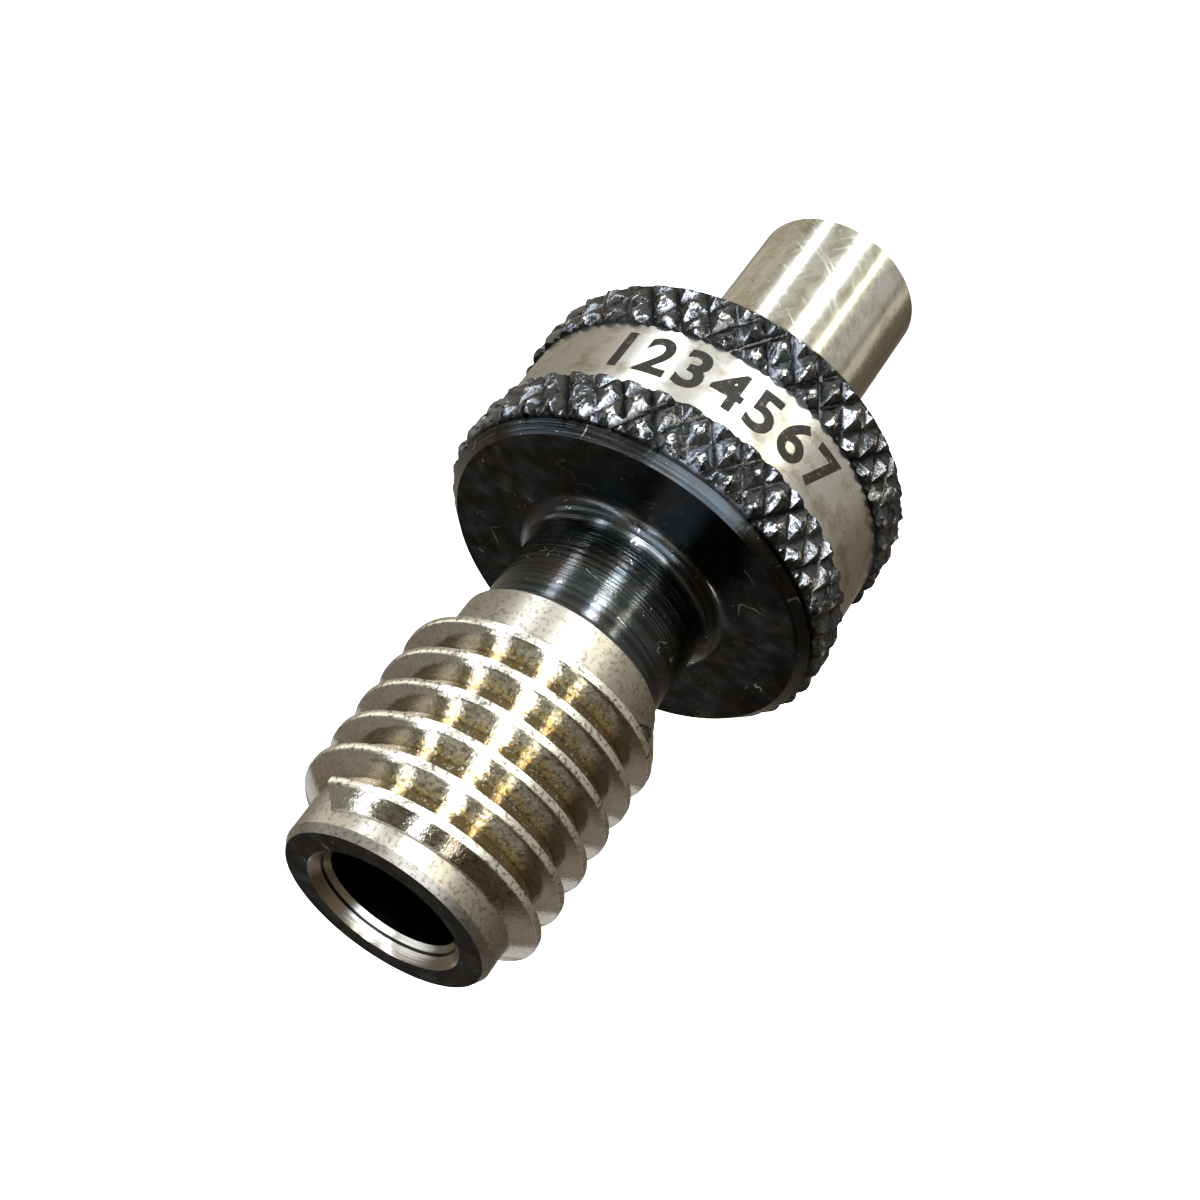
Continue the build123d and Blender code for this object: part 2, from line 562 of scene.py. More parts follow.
@dataclass(frozen=True)
class SatinBand:
    """Marking band ground to a satin white through the black coat.

    The eye gets very fine rings round the axis and a soft, wide sheen.
    """

    name: str = "steel_ground_satin_band"
    steel: str = "#cdccc8"
    stain: str = "#a8a194"
    patches: Pattern = Pattern((0.7, 0.7, 1.1), 5.0, 0.65, 0.45, 0.70)
    roughness: float = 0.26

    # Grinding rings, drawn 0.07 mm apart so that they show
    bumps: tuple[Relief, ...] = (Relief(Pattern((0.3, 0.3, 14.0), 3.0, 0.6), 0.5, 0.010),)

    def build(self) -> bpy.types.Material:
        """Make the material.

        Returns:
            The material.
        """
        shade = Shader(self.name)
        return shade.close(
            Base_Color=shade.layers(self.steel, (shade.draw(self.patches), self.stain)),
            Metallic=1.0,
            Roughness=self.roughness,
            Normal=shade.relief(*self.bumps),
        )


@dataclass(frozen=True)
class GroundShank:
    """Shank ground on centres: bright steel with a thin warm film of old oil.

    The eye gets clear mirror-like streaks that are broken by fine mottling and
    by two sets of slanting hair scratches.
    """

    name: str = "steel_ground_shank"
    steel: str = "#c6c4bb"
    film: str = "#a09b8c"
    spot: str = "#6d6557"
    hair: str = "#e4e1d8"
    patches: Pattern = Pattern((0.9, 0.9, 0.5), 5.0, 0.65)
    film_patches: Span = (0.40, 0.68)
    spots: Pattern = Pattern(4.0, 3.0, 0.7, 0.62, 0.74)

    # Hair scratches 2 mm long, drawn 0.07 mm wide so that they show
    hairs_right: Pattern = Pattern((14.0, 2.0, 0.45), 1.0, 0.5, 0.63, 0.68, bend=0.15, lean=48.0)
    hairs_left: Pattern = Pattern((14.0, 2.0, 0.45), 1.0, 0.5, 0.66, 0.71, bend=0.15, lean=-40.0)
    hair_share: float = 0.3
    roughness: float = 0.14
    patches_roughness: float = 0.08
    hair_roughness: float = 0.08

    # Grinding rings drawn 0.09 mm apart, and the waviness of a worn shank
    bumps: tuple[Relief, ...] = (
        Relief(Pattern((0.4, 0.4, 11.0), 2.0, 0.5), 0.5, 0.004),
        Relief(Pattern((1.2, 1.2, 0.8), 3.0, 0.6), 0.5, 0.010),
    )

    def build(self) -> bpy.types.Material:
        """Make the material.

        Returns:
            The material.
        """
        shade = Shader(self.name)
        add, draw = shade.add, shade.draw
        patches = draw(self.patches)
        hairs = add("Math", draw(self.hairs_right), draw(self.hairs_left), operation="MAXIMUM")
        dull = add("Math", patches, self.patches_roughness, operation="MULTIPLY")
        dull = add("Math", dull, self.roughness, operation="ADD")
        cut = add("Math", hairs, self.hair_roughness, operation="MULTIPLY")
        return shade.close(
            Base_Color=shade.layers(
                self.steel,
                (add("MapRange", patches, *self.film_patches, **SOFT), self.film),
                (draw(self.spots), self.spot),
                (add("Math", hairs, self.hair_share, operation="MULTIPLY"), self.hair),
            ),
            Metallic=1.0,
            Roughness=add("Math", cut, dull, operation="ADD"),
            Normal=shade.relief(*self.bumps),
        )


@dataclass(frozen=True)
class BrightSink:
    """Countersink cut bright after blackening, with turned rings.

    The eye gets a bright ring with a fine dark line of painted shade at the bend part
    of the way out, and sides darkened by painted shade.
    """

    name: str = "steel_turned_bright_sink"
    steel: str = "#e2ded4"
    # Painted shade on the sides, to the left and right
    sink_side_shade: str = "#a39d91"
    # A fine line of painted shade at the countersink's bend
    line: str = "#2b2a28"
    line_radius: float = 2.69
    line_width: Span = (0.045, 0.025)
    side_shading_reach: Span = (1.4, 2.5)
    roughness: float = 0.20

    # Turned rings 0.08 mm apart, as a fine feed leaves them
    bumps: tuple[Relief, ...] = (Relief(Pattern((0.6, 0.6, 12.0), 2.0, 0.5), 0.5, 0.008),)

    def build(self) -> bpy.types.Material:
        """Make the material.

        Returns:
            The material.
        """
        shade = Shader(self.name)
        add = shade.add
        # Painted shade: a fine line at the bend, and darker sides to the left and right
        away = add("Math", shade.radius, self.line_radius, operation="SUBTRACT")
        away = add("Math", away, operation="ABSOLUTE")
        aside = add("Math", shade.axes[0], operation="ABSOLUTE")
        return shade.close(
            Base_Color=shade.layers(
                self.steel,
                (add("MapRange", aside, *self.side_shading_reach, **SOFT), self.sink_side_shade),
                (add("MapRange", away, *self.line_width, **SOFT), self.line),
            ),
            Metallic=1.0,
            Roughness=self.roughness,
            Normal=shade.relief(*self.bumps),
        )


@dataclass(frozen=True)
class EngravingFill:
    """Black paint in engraved numbers: matt, with small gaps at the edges."""

    name: str = "paint_black_engraving"
    paint: str = "#17150f"
    bare: str = "#5b5142"

    # Gaps 0.2 mm wide, and the paint's own grain drawn coarse so that it shows
    gaps: Pattern = Pattern(5.0, 3.0, 0.7, 0.58, 0.70)
    roughness: float = 0.6
    gloss: float = 0.2
    bumps: tuple[Relief, ...] = (Relief(Pattern(8.0, 3.0, 0.55), 0.5, 0.03),)

    def build(self) -> bpy.types.Material:
        """Make the material.

        Returns:
            The material.
        """
        shade = Shader(self.name)
        return shade.close(
            Base_Color=shade.layers(self.paint, (shade.draw(self.gaps), self.bare)),
            Roughness=self.roughness,
            Specular_IOR_Level=self.gloss,
            Normal=shade.relief(*self.bumps),
        )


FINISHES: dict[Finish, Any] = {
    Finish.BLACK: BlackOxide(),
    Finish.KNURL: KnurlOxide(),
    Finish.FLANK: GroundThread(),
    Finish.BAND: SatinBand(),
    Finish.SHANK: GroundShank(),
    Finish.SINK: BrightSink(),
    Finish.FILL: EngravingFill(),
}


# Surfaces


@dataclass
class Patch:
    """A grid of points that closes round the axis, with one finish.

    points has the shape rows by COLUMNS by 3, in millimetres. Rows go the way
    that makes the faces point outwards: up the outside, and down a bore. Where
    the rows follow a helix, the last column joins the first one seam_rows on.
    """

    points: np.ndarray
    finish: Finish
    split: bool = False
    seam_rows: int = 0


def grid(radius: np.ndarray, height: np.ndarray) -> np.ndarray:
    """Place points round the axis: each is (r cos a, r sin a, z) at its column's angle a.

    Args:
        radius: Radii in millimetres at every row and column.
        height: Heights at every row and column.

    Returns:
        The points.
    """
    return np.stack([radius * np.cos(ANGLES), radius * np.sin(ANGLES), height], axis=-1)


def turned(profile: list[Span]) -> np.ndarray:
    """Revolve a profile: each of its points makes one row of the grid.

    Args:
        profile: Pairs of radius and height in millimetres.

    Returns:
        The grid of points.
    """
    radius, height = (np.array(values)[:, None] + 0 * ANGLES for values in zip(*profile))
    return grid(radius, height)


@dataclass
class Shank:
    """Plain ground shank with a flat end, a small chamfer and a centre hole."""

    radius: float = 3.55
    length: float = 10.0
    chamfer: float = 0.25
    mouth: float = 1.0
    drill: float = 0.5
    drill_depth: float = 1.8
    mouth_angle: float = 30.0
    end_ring: float = 2.2
    side_rows: int = 9

    def patches(self) -> list[Patch]:
        """Build the end face, the centre hole and the cylinder.

        Returns:
            The patches, from the axis outwards.
        """
        slope = math.tan(math.radians(self.mouth_angle))
        tip = self.drill_depth + self.drill / math.tan(math.radians(DRILL_POINT))
        hole = [
            (0.0, tip),
            (self.drill, self.drill_depth),
            (self.drill, (self.mouth - self.drill) / slope),
            (self.mouth, 0.0),
        ]
        end = [
            (self.mouth, 0.0),
            (self.end_ring, 0.0),
            (self.radius - self.chamfer, 0.0),
            (self.radius, self.chamfer),
        ]
        side = [(self.radius, z) for z in np.linspace(self.chamfer, self.length, self.side_rows)]
        return [
            Patch(turned(hole), Finish.SINK),
            Patch(turned(end), Finish.SHANK),
            Patch(turned(side), Finish.SHANK),
        ]


@dataclass
class Collar:
    """Collar with two knurled bands, a recessed marking band and two chamfers."""

    radius: float = 8.0
    low: float = 10.0
    high: float = 18.6
    chamfer: float = 0.8
    shank: float = 3.55
    face_ring: float = 5.4
    rear_face: float = 7.2
    front_face: float = 7.25
    groove_low: float = 12.75
    groove_high: float = 15.85
    groove_radius: float = 7.68
    groove_rows: int = 5
    edge: float = 0.12

    # The knurl's diamonds: their number, spacing and depth, and how they stray
    knurls: int = 40
    row_gap: float = 0.968
    depth: float = 0.33
    half_groove: float = 0.375
    stray: float = 0.05
    depths: Span = (0.78, 1.08)
    rear_row: Span = (12.40, 6.75)
    front_row: Span = (17.60, 2.25)

    # Where the knurl's rows begin on the chamfers, and their least gap to an end
    knurl_start: float = 0.40
    chamfer_ring: float = 0.2
    row_margin: float = 0.02

    def knurl(self, height: np.ndarray, row: Span) -> np.ndarray:
        """Work out the radius of a knurled band before its ends are cut.

        Two sets of grooves cross: with the angle a in steps of one diamond and
        the height z in steps of two rows, p = a + z and q = a - z, and a groove
        runs where p or q is whole. Each is a V that gets shallower in a straight
        line away from its bottom, and the deeper of the two counts. Each groove
        is a little off its place and depth, by its own chance numbers.

        Args:
            height: Heights at every row and column.
            row: Height and angle in degrees of one diamond's centre.

        Returns:
            The radius at every row and column.
        """
        around = (DEGREES - row[1]) / (360.0 / self.knurls) - 0.5
        along = (height - row[0]) / (2 * self.row_gap)
        chance = np.random.default_rng(round(row[0] * 100))
        cuts = []
        for lean in (around + along, around - along):
            shift = chance.uniform(-self.stray, self.stray, self.knurls)
            deep = chance.uniform(*self.depths, self.knurls)
            groove = np.round(lean).astype(int) % self.knurls
            away = np.abs(lean - np.round(lean) - shift[groove])
            cuts.append(deep[groove] * np.clip(1 - away / self.half_groove, 0, None))
        return self.radius - self.depth * np.maximum(*cuts)

    def band(
        self, low: float, high: float, row: Span, limit: Callable[[Any], np.ndarray]
    ) -> Patch:
        """Build a knurled band with rows that meet the crossings of its grooves.

        Args:
            low: Lowest height.
            high: Highest height.
            row: Height and angle of one diamond's centre.
            limit: Gives the greatest radius at a height.

        Returns:
            The patch.
        """
        gap = self.row_gap * self.knurls * 2 / COLUMNS
        first = math.ceil((low + self.row_margin - row[0]) / gap)
        last = math.floor((high - self.row_margin - row[0]) / gap)
        inner = row[0] + gap * np.arange(first, last + 1)
        heights = np.concatenate([[low], inner, [high]])[:, None] + np.zeros((1, COLUMNS))
        radius = np.minimum(self.knurl(heights, row), limit(heights))
        return Patch(grid(radius, heights), Finish.KNURL, split=True)

    def rear_limit(self, height: Any) -> np.ndarray:
        """Work out the greatest radius in the rear band.

        It grows in a line up the chamfer, and falls by the height past the edge's
        start at the groove.

        Args:
            height: The height or heights.

        Returns:
            The radius or radii.
        """
        rise = (height - self.low) * (self.radius - self.rear_face) / self.chamfer
        edge = self.radius - np.clip(height - (self.groove_low - self.edge), 0, None)
        return np.minimum(self.rear_face + rise, edge)

    def front_limit(self, height: Any) -> np.ndarray:
        """Work out the greatest radius in the front band, as the rear one's mirrored.

        Args:
            height: The height or heights.

        Returns:
            The radius or radii.
        """
        rise = (self.high - height) * (self.radius - self.front_face) / self.chamfer
        edge = self.radius - np.clip(self.groove_high + self.edge - height, 0, None)
        return np.minimum(self.front_face + rise, edge)

    def patches(self) -> list[Patch]:
        """Build the faces, chamfers, knurled bands and the groove.

        Returns:
            The patches, from the shank up.
        """
        start, end = self.low + self.knurl_start, self.high - self.knurl_start
        rear = self.band(start, self.groove_low, self.rear_row, self.rear_limit)
        front = self.band(self.groove_high, end, self.front_row, self.front_limit)
        face = [(radius, self.low) for radius in (self.shank, self.face_ring, self.rear_face)]
        rear_heights = (self.low, self.low + self.chamfer_ring, start)
        front_heights = (end, self.high - self.chamfer_ring, self.high)
        groove = [
            (self.groove_radius, z)
            for z in np.linspace(self.groove_low, self.groove_high, self.groove_rows)
        ]
        floor = turned(groove)
        return [
            Patch(turned(face), Finish.BLACK),
            Patch(turned([(float(self.rear_limit(z)), z) for z in rear_heights]), Finish.BLACK),
            rear,
            Patch(np.stack([rear.points[-1], floor[0]]), Finish.BLACK),
            Patch(floor, Finish.BAND),
            Patch(np.stack([floor[-1], front.points[0]]), Finish.BLACK),
            front,
            Patch(turned([(float(self.front_limit(z)), z) for z in front_heights]), Finish.BLACK),
        ]


@dataclass
class Neck:
    """Neck between collar and thread, with a fillet at the collar's face."""

    face_radius: float = 7.25
    face_ring: float = 5.9
    face_height: float = 18.6
    radius: float = 3.75
    fillet: float = 0.8
    fillet_rows: int = 9
    top: float = 22.95
    side_rows: int = 4

    def patches(self) -> list[Patch]:
        """Build the collar's front face, the fillet and the neck.

        The fillet is a quarter circle: at the angle t it is fillet sin t nearer
        to the axis than its ring and fillet (1 - cos t) above the face.

        Returns:
            The patches, from the collar up.
        """
        ring = self.radius + self.fillet
        face = [(radius, self.face_height) for radius in (self.face_radius, self.face_ring, ring)]
        arc = [
            (ring - self.fillet * math.sin(t), self.face_height + self.fillet * (1 - math.cos(t)))
            for t in np.radians(np.linspace(0, 90, self.fillet_rows))
        ]
        side = [
            (self.radius, z)
            for z in np.linspace(self.face_height + self.fillet, self.top, self.side_rows)
        ]
        return [Patch(turned(profile), Finish.BLACK) for profile in (face, arc, side)]


@dataclass
class ThreadMember:
    """Measuring thread: one right-hand helix on a plain core, blunt at both ends."""

    pitch: float = 1.5
    core: float = 4.08
    crest: float = 4.92
    half_crest: float = 0.14
    flank_angle: float = 30.0
    low: float = 22.95
    neck: float = 3.75
    high: float = 34.30
    nose_face: float = 3.9
    nose: float = 34.6

    # Where the helix runs, in degrees from the part's -X side, its height there,
    # and the turns that the rows cover
    side: float = 180.0
    turns_from: float = -100.0
    turns_to: float = 1943.0
    first_height: float = 34.6 - 9.661 + 0.14
    turns: tuple[int, int] = (-3, 8)

    # Row offsets across one pitch, where the ridge's profile bends, and how far
    # the crest's edges are rounded off at those offsets
    across: tuple[float, ...] = (
        -0.75, -0.625, -0.50, -0.36, -0.175, -0.14, -0.105,
        0.105, 0.14, 0.175, 0.36, 0.50, 0.625,
    )
    rounding: tuple[Span, ...] = ((0.105, 0.0), (0.14, 0.012), (0.175, 0.0))

    # The ramp behind the last crest: an off-centre cone, held inside a centred one
    ramp_shift: float = 1.56
    ramp_angle: float = 152.5
    ramp_low: float = 23.30
    ramp_high: float = 24.75
    ramp_radii: Span = (3.06, 3.935)
    ramp_drop: float = 0.1
    ramp_slope: float = 27.0
    tolerance: float = 1e-6

    def ridge(self, offset: np.ndarray) -> np.ndarray:
        """Work out the radius across the ridge.

        The crest is flat with a small round edge, and the flanks fall at 60
        degrees to the axis until they meet the core.

        Args:
            offset: Axial distances from the ridge's middle.

        Returns:
            The radii.
        """
        away = np.abs(offset)
        slope = math.tan(math.radians(self.flank_angle))
        flank = self.crest - (away - self.half_crest) / slope
        crest = np.minimum(self.crest, flank) - np.interp(away, *zip(*self.rounding))
        return np.maximum(crest, self.core)

    def ramp(self, height: np.ndarray, angle: np.ndarray) -> np.ndarray:
        """Work out the radius of the off-centre cone inside the centred one.

        A cone of radius R whose axis is shifted by s reaches s cos d plus the root
        of R squared minus s sin d squared, at the angle d from the shift.

        Args:
            height: Heights at every row and column.
            angle: Angles of the columns in degrees.

        Returns:
            The radii, and 0 above and below the ramp.
        """
        share = np.clip((height - self.ramp_low) / (self.ramp_high - self.ramp_low), 0, 1)
        cone = self.ramp_radii[0] + share * (self.ramp_radii[1] - self.ramp_radii[0])
        turn = np.radians(angle - self.ramp_angle)
        side = self.ramp_shift * np.sin(turn)
        reach = self.ramp_shift * np.cos(turn) + np.sqrt(np.clip(cone**2 - side**2, 0, None))
        slope = math.tan(math.radians(self.ramp_slope))
        centred = self.crest - self.ramp_drop - (self.ramp_high - height) * slope
        inside = (height >= self.ramp_low - self.tolerance) & (
            height <= self.ramp_high + self.tolerance
        )
        return np.where(inside, np.minimum(reach, centred), 0.0)

    def thread(self) -> Patch:
        """Build the threaded cylinder with rows that follow the helix.

        The height is the helix height of the turn plus the row's offset, held
        between the two ends of the cylinder.

        Returns:
            The patch.
        """
        turns = np.arange(*self.turns)
        offset = np.tile(self.across, len(turns))[:, None]
        turn = np.repeat(turns, len(self.across))[:, None]
        swept = DEGREES[None, :] - self.side + 360.0 * turn
        height = self.first_height + self.pitch * swept / 360.0 + offset
        ring_low = self.low + (self.core - self.neck)
        alive = (swept >= self.turns_from) & (swept <= self.turns_to)
        ridge = self.ridge(np.broadcast_to(offset, swept.shape))
        radius = np.where(alive, ridge, self.core)
        radius = np.maximum(radius, self.ramp(height, DEGREES[None, :]))
        outside = (height < ring_low) | (height > self.high)
        radius = np.where(outside, self.core, radius)
        points = grid(radius, np.clip(height, ring_low, self.high))
        return Patch(points, Finish.FLANK, seam_rows=len(self.across))

    def patches(self) -> list[Patch]:
        """Build the rear chamfer, the thread and the nose chamfer.

        Returns:
            The patches, from the neck up.
        """
        rear = [(self.neck, self.low), (self.core, self.low + (self.core - self.neck))]
        front = [(self.core, self.high), (self.nose_face, self.nose)]
        return [
            Patch(turned(rear), Finish.FLANK),
            self.thread(),
            Patch(turned(front), Finish.FLANK),
        ]


@dataclass
class Nose:
    """Nose face, countersink and blind bore."""

    face: float = 3.9
    face_ring: float = 3.45
    nose: float = 34.6
    sink: float = 2.975
    sink_depth: float = 0.65
    bore: float = 2.5
    bore_depth: float = 11.0
    bore_rows: int = 8

    # The sink's broken edge, its ring part of the way down, and the drill point's
    edge_out: float = 0.03
    edge_in: float = 0.02
    edge_depth: float = 0.05
    sink_ring: Span = (2.70, 0.39)
    point_ring: float = 1.2

    def patches(self) -> list[Patch]:
        """Build the nose face, the countersink, the bore and its drill point.

        Returns:
            The patches, from the rim inwards and down.
        """
        top, floor = self.nose, self.nose - self.bore_depth
        tip = floor - self.bore / math.tan(math.radians(DRILL_POINT))
        rim, lip = self.sink + self.edge_out, (self.sink - self.edge_in, top - self.edge_depth)
        ring, drop = self.sink_ring
        shapes = (
            (Finish.BLACK, [(self.face, top), (self.face_ring, top), (rim, top)]),
            (Finish.SINK, [(rim, top), lip]),
            (Finish.SINK, [lip, (ring, top - drop), (self.bore, top - self.sink_depth)]),
            (
                Finish.BLACK,
                [
                    (self.bore, z)
                    for z in np.linspace(top - self.sink_depth, floor, self.bore_rows)
                ],
            ),
            (
                Finish.BLACK,
                [(self.bore, floor), (self.point_ring, (floor + tip) / 2), (0.0, tip)],
            ),
        )
        return [Patch(turned(profile), finish) for finish, profile in shapes]


def whole_body() -> tuple[Any, ...]:
    """Give the sections of the body from the shank up."""
    return Shank(), Collar(), Neck(), ThreadMember(), Nose()


@dataclass
class GaugeBody:
    """The whole turned body: every patch welded into one closed mesh."""

    name: str = "gauge_body_skin"
    sections: tuple[Any, ...] = field(default_factory=whole_body)
    level: float = 1e-4
    merge: float = 2e-7
    thinnest: float = 1e-7
    sharp: float = 24.0

    def faces(self, patch: Patch, start: int) -> list[tuple[int, ...]]:
        """Index the faces of a patch, quads or, for a knurl, triangles.

        A knurl's quad is split along the diagonal whose ends are nearest in
        radius, or are lower if both are level, so edges and groove bottoms stay
        sharp.

        Args:
            patch: The patch.
            start: Index of its first point in the whole mesh.

        Returns:
            The corners of every face.
        """
        rows = patch.points.shape[0]
        index = start + np.arange(rows * COLUMNS).reshape(rows, COLUMNS)
        right = np.roll(index, -1, axis=1)
        right[:, -1] = np.roll(index[:, 0], -patch.seam_rows)
        corners = np.stack([index[:-1], right[:-1], right[1:], index[1:]], axis=-1)
        if patch.seam_rows:
            corners[-patch.seam_rows :, -1] = corners[-patch.seam_rows :, -1, [0, 0, 3, 3]]
        corners = corners.reshape(-1, 4)
        if not patch.split:
            whole = corners[corners[:, 0] != corners[:, 1]]
            return [tuple(face) for face in whole.tolist()]
        radius = np.hypot(patch.points[..., 0], patch.points[..., 1])
        beside = np.roll(radius, -1, axis=1)
        a, b, c, d = radius[:-1], beside[:-1], beside[1:], radius[1:]
        level = np.abs(a - c) - np.abs(b - d)
        first = np.where(np.abs(level) > self.level, level < 0, a + c < b + d).reshape(-1, 1)
        one = np.where(first, corners[:, [0, 1, 2]], corners[:, [0, 1, 3]])
        two = np.where(first, corners[:, [0, 2, 3]], corners[:, [1, 2, 3]])
        return [tuple(face) for face in np.concatenate([one, two]).tolist()]

    def build(self) -> bpy.types.Object:
        """Weld the patches and give each its finish.

        Returns:
            The object.
        """
        points: list[np.ndarray] = []
        faces: list[tuple[int, ...]] = []
        slots: list[int] = []
        start = 0
        for section in self.sections:
            for patch in section.patches():
                made = self.faces(patch, start)
                points.append(patch.points.reshape(-1, 3))
                faces += made
                slots += [patch.finish.value] * len(made)
                start += points[-1].shape[0]
        mesh = bpy.data.meshes.new(self.name)
        mesh.from_pydata((np.concatenate(points) * MM).tolist(), [], faces)
        mesh.polygons.foreach_set("material_index", slots)
        weld = bmesh.new()
        weld.from_mesh(mesh)
        bmesh.ops.remove_doubles(weld, verts=weld.verts, dist=self.merge)
        bmesh.ops.dissolve_degenerate(weld, edges=weld.edges, dist=self.thinnest)
        loose = sum(1 for edge in weld.edges if len(edge.link_faces) != 2)
        volume = weld.calc_volume(signed=True) / MM**3
        weld.to_mesh(mesh)
        weld.free()
        mesh.shade_smooth()
        mesh.set_sharp_from_angle(angle=math.radians(self.sharp))
        thing = put(self.name, mesh)
        for finish in Finish:
            mesh.materials.append(FINISHES[finish].build())
        triangles = sum(len(face.vertices) - 2 for face in mesh.polygons)
        LOG.info(
            "%s: %d triangles, %d open edges, %.1f cubic mm", self.name, triangles, loose, volume
        )
        return thing


@dataclass
class BandNumbers:
    """Plain numbers engraved and painted black on the marking band."""

    name: str = "band_numbers"
    text: str = "1234567"
    first: float = -40.0
    last: float = 26.0
    middle: float = 14.30
    size: float = 2.55
    bold: float = 0.065
    radius: float = 7.68
    proud: float = 0.010
    sunk: float = 0.05

    # Points along a curve of a digit, and where its upright slices are cut
    curve_points: int = 6
    slices_from: float = -1.2
    slices_to: float = 1.2
    slice_width: float = 0.15
    slice_reach: float = 1e-5
    merge: float = 1e-7

    def glyph(self, character: str, sideways: float) -> bpy.types.Mesh:
        """Make one digit as a bent, closed solid at an angle from the front.

        It is cut into narrow upright slices first, so that it bends smoothly.

        The flat letter's x runs round the band, against the angle, and its y
        runs down the axis, so the number reads upright with the nose down.

        Args:
            character: The digit.
            sideways: Degrees from the front, positive to the reader's right.

        Returns:
            The mesh.
        """
        curve = bpy.data.curves.new(self.name, "FONT")
        curve.body = character
        curve.size = self.size
        curve.align_x = "CENTER"
        curve.align_y = "CENTER"
        curve.extrude = (self.proud + self.sunk) / 2
        curve.resolution_u = self.curve_points
        curve.offset = self.bold
        flat = put("flat_digit", curve)
        bpy.context.view_layer.update()
        ready = flat.evaluated_get(bpy.context.evaluated_depsgraph_get())
        mesh = bpy.data.meshes.new_from_object(ready)
        bpy.data.objects.remove(flat)
        cut = bmesh.new()
        cut.from_mesh(mesh)
        for place in np.arange(self.slices_from, self.slices_to, self.slice_width):
            bmesh.ops.bisect_plane(
                cut,
                geom=[*cut.verts, *cut.edges, *cut.faces],
                dist=self.slice_reach,
                plane_co=(float(place), 0, 0),
                plane_no=(1, 0, 0),
            )
        cut.to_mesh(mesh)
        cut.free()
        points = np.empty(len(mesh.vertices) * 3)
        mesh.vertices.foreach_get("co", points)
        points = points.reshape(-1, 3)
        radius = self.radius + points[:, 2] + (self.proud - self.sunk) / 2
        angle = math.radians(FRONT - sideways) - points[:, 0] / self.radius
        height = self.middle - points[:, 1]
        bent = np.stack([radius * np.cos(angle), radius * np.sin(angle), height], axis=-1)
        mesh.vertices.foreach_set("co", (bent * MM).ravel())
        mesh.update()
        return mesh

    def build(self) -> bpy.types.Object:
        """Make the digits and join them.

        Returns:
            The object.
        """
        places = np.linspace(self.first, self.last, len(self.text))
        joined = bmesh.new()
        for character, place in zip(self.text, places):
            joined.from_mesh(self.glyph(character, float(place)))
        bmesh.ops.remove_doubles(joined, verts=joined.verts, dist=self.merge)
        bmesh.ops.recalc_face_normals(joined, faces=joined.faces)
        mesh = bpy.data.meshes.new(self.name)
        joined.to_mesh(mesh)
        joined.free()
        mesh.materials.append(bpy.data.materials[FINISHES[Finish.FILL].name])
        LOG.info("%s: %d faces", self.name, len(mesh.polygons))
        return put(self.name, mesh)


# Camera, lights and floor


@dataclass(frozen=True)
class Viewpoint:
    """Camera at the photograph's place, from a fit to the part's own edges.

    The picture's size and the focal length are in pixels. The nose face's centre
    is at the given pixel and distance, the shank leans away from the camera by
    the tilt, and runs in the picture at the given angle from the right-hand side.
    """

    name: str = "photo_camera"
    picture: float = 1200.0
    focal: float = 1981.0
    pixel: Span = (382.30, 911.85)
    distance: float = 65.66
    tilt: float = 32.05
    azimuth: float = 53.90
    nose: float = 34.6
    sensor: float = 36.0
    nearest: float = 0.002
    farthest: float = 10.0

    def build(self) -> bpy.types.Object:
        """Place the camera.

        With the camera at the origin looking along -Z, a is the direction from
        nose to shank, e1 is a turned to the image's side, and e2 faces the
        camera. The part's own axes are then X = -e1, Y = -e2 and Z = -a.

        Returns:
            The camera.
        """
        tilt, azimuth = math.radians(self.tilt), math.radians(self.azimuth)
        flat = math.cos(tilt)
        a = Vector((flat * math.cos(azimuth), flat * math.sin(azimuth), -math.sin(tilt)))
        e1 = a.cross(Vector((0, 0, 1))).normalized()
        e2 = e1.cross(a)
        right, down = ((pixel - self.picture / 2) / self.focal for pixel in self.pixel)
        nose = Vector((right * self.distance, -down * self.distance, -self.distance))
        axes = Matrix((-e1, -e2, -a))
        spot = Vector((0, 0, self.nose)) - axes @ nose
        data = bpy.data.cameras.new(self.name)
        data.sensor_width = self.sensor
        data.lens = self.sensor * self.focal / self.picture
        data.clip_start = self.nearest
        data.clip_end = self.farthest
        camera = put(self.name, data)
        place = axes.to_4x4()
        place.translation = spot * MM
        camera.matrix_world = place
        bpy.context.scene.camera = camera
        LOG.info("camera at %s mm", tuple(round(value, 2) for value in spot))
        return camera


@dataclass(frozen=True)
class StripLight:
    """A long soft light that runs straight from one point to another.

    The points are in millimetres in the part's frame, and the light faces the
    aim point. The radiance sets how bright it looks in the steel.
    """

    name: str
    start: Point
    end: Point
    width: float
    radiance: float
    colour: str = "#ffffff"
    aim: Point = (0.0, 0.0, 15.0)

    def build(self) -> bpy.types.Object:
        """Make the area light; its power is radiance times pi times its area.

        Returns:
            The light.
        """
        first, last = Vector(self.start), Vector(self.end)
        middle = (first + last) / 2
        along = (first - last).normalized()
        back = middle - Vector(self.aim)
        back = (back - along * back.dot(along)).normalized()
        side = along.cross(back)
        length = (first - last).length
        data = bpy.data.lights.new(self.name, "AREA")
        data.shape = "RECTANGLE"
        data.size = self.width * MM
        data.size_y = length * MM
        data.energy = self.radiance * math.pi * self.width * length * MM * MM
        data.color = linear(self.colour)[:3]
        light = put(self.name, data)
        place = Matrix((side, along, back)).transposed().to_4x4()
        place.translation = middle * MM
        light.matrix_world = place
        return light


